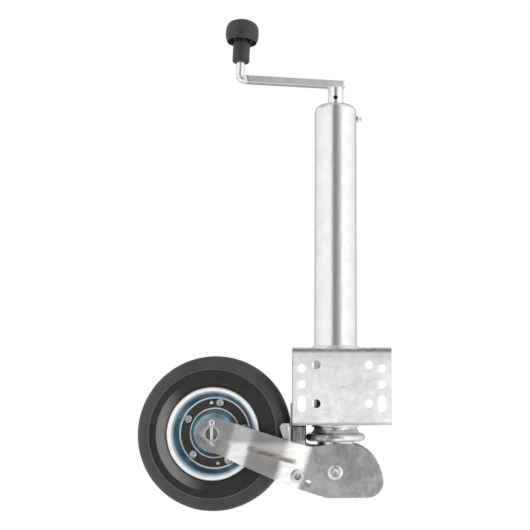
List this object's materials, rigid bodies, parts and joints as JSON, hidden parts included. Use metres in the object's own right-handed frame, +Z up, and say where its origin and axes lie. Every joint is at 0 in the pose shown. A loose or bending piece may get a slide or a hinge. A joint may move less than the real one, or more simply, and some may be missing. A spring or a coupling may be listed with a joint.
{
  "type": "trailer tongue jack",
  "caption": "Trailer tongue jack: bolt-on channel bracket, telescoping tube with crank and screw drive, and a forked wheel that folds up beside the tube.",
  "frame": {"origin": "centre of the mounting bracket's outer face, midway between its ends and between its flanges", "axes": "+Z up along the tube towards the crank, -Y out of the bracket's face towards the trailer's drawbar, -X towards the folded wheel"},
  "size_m": [0.3512, 0.0924, 0.694],
  "materials": {
    "zinc_tube": "bright zinc plate on drawn tube, smooth, long soft reflections",
    "zinc_sheet": "bright zinc plate on hot-rolled sheet, faint mottling and handling marks",
    "zinc_fork": "bright zinc plate on pressed sheet, satin, brushed along the arm",
    "zinc_small": "zinc-plated turned and cut parts",
    "bright_steel": "plain turned steel, lightly oiled",
    "dark_steel": "black oxide on spring steel, slightly oily",
    "blue_zinc": "blue-passivated zinc on a pressed rim, bright at its edges",
    "rubber": "moulded solid rubber, matt, with brownish bloom near the rim",
    "black_plastic": "moulded black plastic, satin",
    "pale_plastic": "natural nylon",
    "bronze": "cast and turned nut metal"
  },
  "bodies": {
    "outer": {"outer_tube": "zinc_tube", "stop_collar": "zinc_tube", "guide_bush": "pale_plastic", "mount_bracket": "zinc_sheet", "upper_weld": "zinc_tube", "lower_weld": "zinc_tube", "grease_nipple": "bright_steel", "upper_race": "bright_steel", "top_bush": "pale_plastic"},
    "crank": {"lower_race": "bright_steel", "bearing_ball_1": "bright_steel", "bearing_ball_2": "bright_steel", "bearing_ball_3": "bright_steel", "bearing_ball_4": "bright_steel", "bearing_ball_5": "bright_steel", "bearing_ball_6": "bright_steel", "lift_screw": "bright_steel", "crank_hub": "zinc_tube", "roll_pin": "dark_steel", "crank_arm": "zinc_tube", "knob_clip": "dark_steel"},
    "knob": {"crank_knob": "black_plastic"},
    "inner": {"inner_tube": "zinc_tube", "pivot_sleeve": "zinc_small", "screw_nut": "bronze"},
    "fork": {"fork_plate_front": "zinc_fork", "fork_plate_rear": "zinc_fork", "fork_bridge": "zinc_fork", "fork_stop": "zinc_fork", "pivot_pin": "zinc_small", "pivot_washer": "zinc_small", "pivot_clip": "dark_steel", "cross_tube": "zinc_small", "axle_tube": "zinc_small", "axle_washer_front": "zinc_small", "axle_washer_rear": "zinc_small", "split_pin_front": "bright_steel", "split_pin_rear": "bright_steel"},
    "wheel": {"tyre": "rubber", "rim_front": "blue_zinc", "rim_rear": "blue_zinc", "rim_bolt_1": "zinc_small", "rim_bolt_2": "zinc_small", "rim_bolt_3": "zinc_small", "rim_bolt_4": "zinc_small", "rim_bolt_5": "zinc_small", "rim_nut_1": "zinc_small", "rim_nut_2": "zinc_small", "rim_nut_3": "zinc_small", "rim_nut_4": "zinc_small", "rim_nut_5": "zinc_small", "rim_rivet_1": "bright_steel", "rim_rivet_2": "bright_steel", "hub_tube": "zinc_small", "hub_bush_front": "pale_plastic", "hub_bush_rear": "pale_plastic"}
  },
  "joints": [
    {"name": "crank_turn", "type": "hinge", "parent": "outer", "child": "crank", "pos_m": [-0.009, 0.04, 0.437], "axis": [0, 0, -1], "range_deg": [0, 18000]},
    {"name": "knob_spin", "type": "hinge", "parent": "crank", "child": "knob", "pos_m": [-0.14631, 0.0148, 0.437], "axis": [0.0378, 0.0069, 0.9993], "continuous": true},
    {"name": "inner_slide", "type": "slide", "parent": "outer", "child": "inner", "axis": [0, 0, -1], "range_m": [0, 0.2]},
    {"name": "fork_fold", "type": "hinge", "parent": "inner", "child": "fork", "pos_m": [-0.009, 0.04, -0.1162], "axis": [0, -1, 0], "range_deg": [0, 92]},
    {"name": "wheel_spin", "type": "hinge", "parent": "fork", "child": "wheel", "pos_m": [-0.1769, 0.04, -0.0643], "axis": [0, 1, 0], "continuous": true}
  ],
  "couplings": [
    {"joint": "inner_slide", "follows": "crank_turn", "m_per_rad": 0.00063662},
    {"joint": "fork_fold", "follows": "crank_turn", "ratio": 0.0051111}
  ]
}
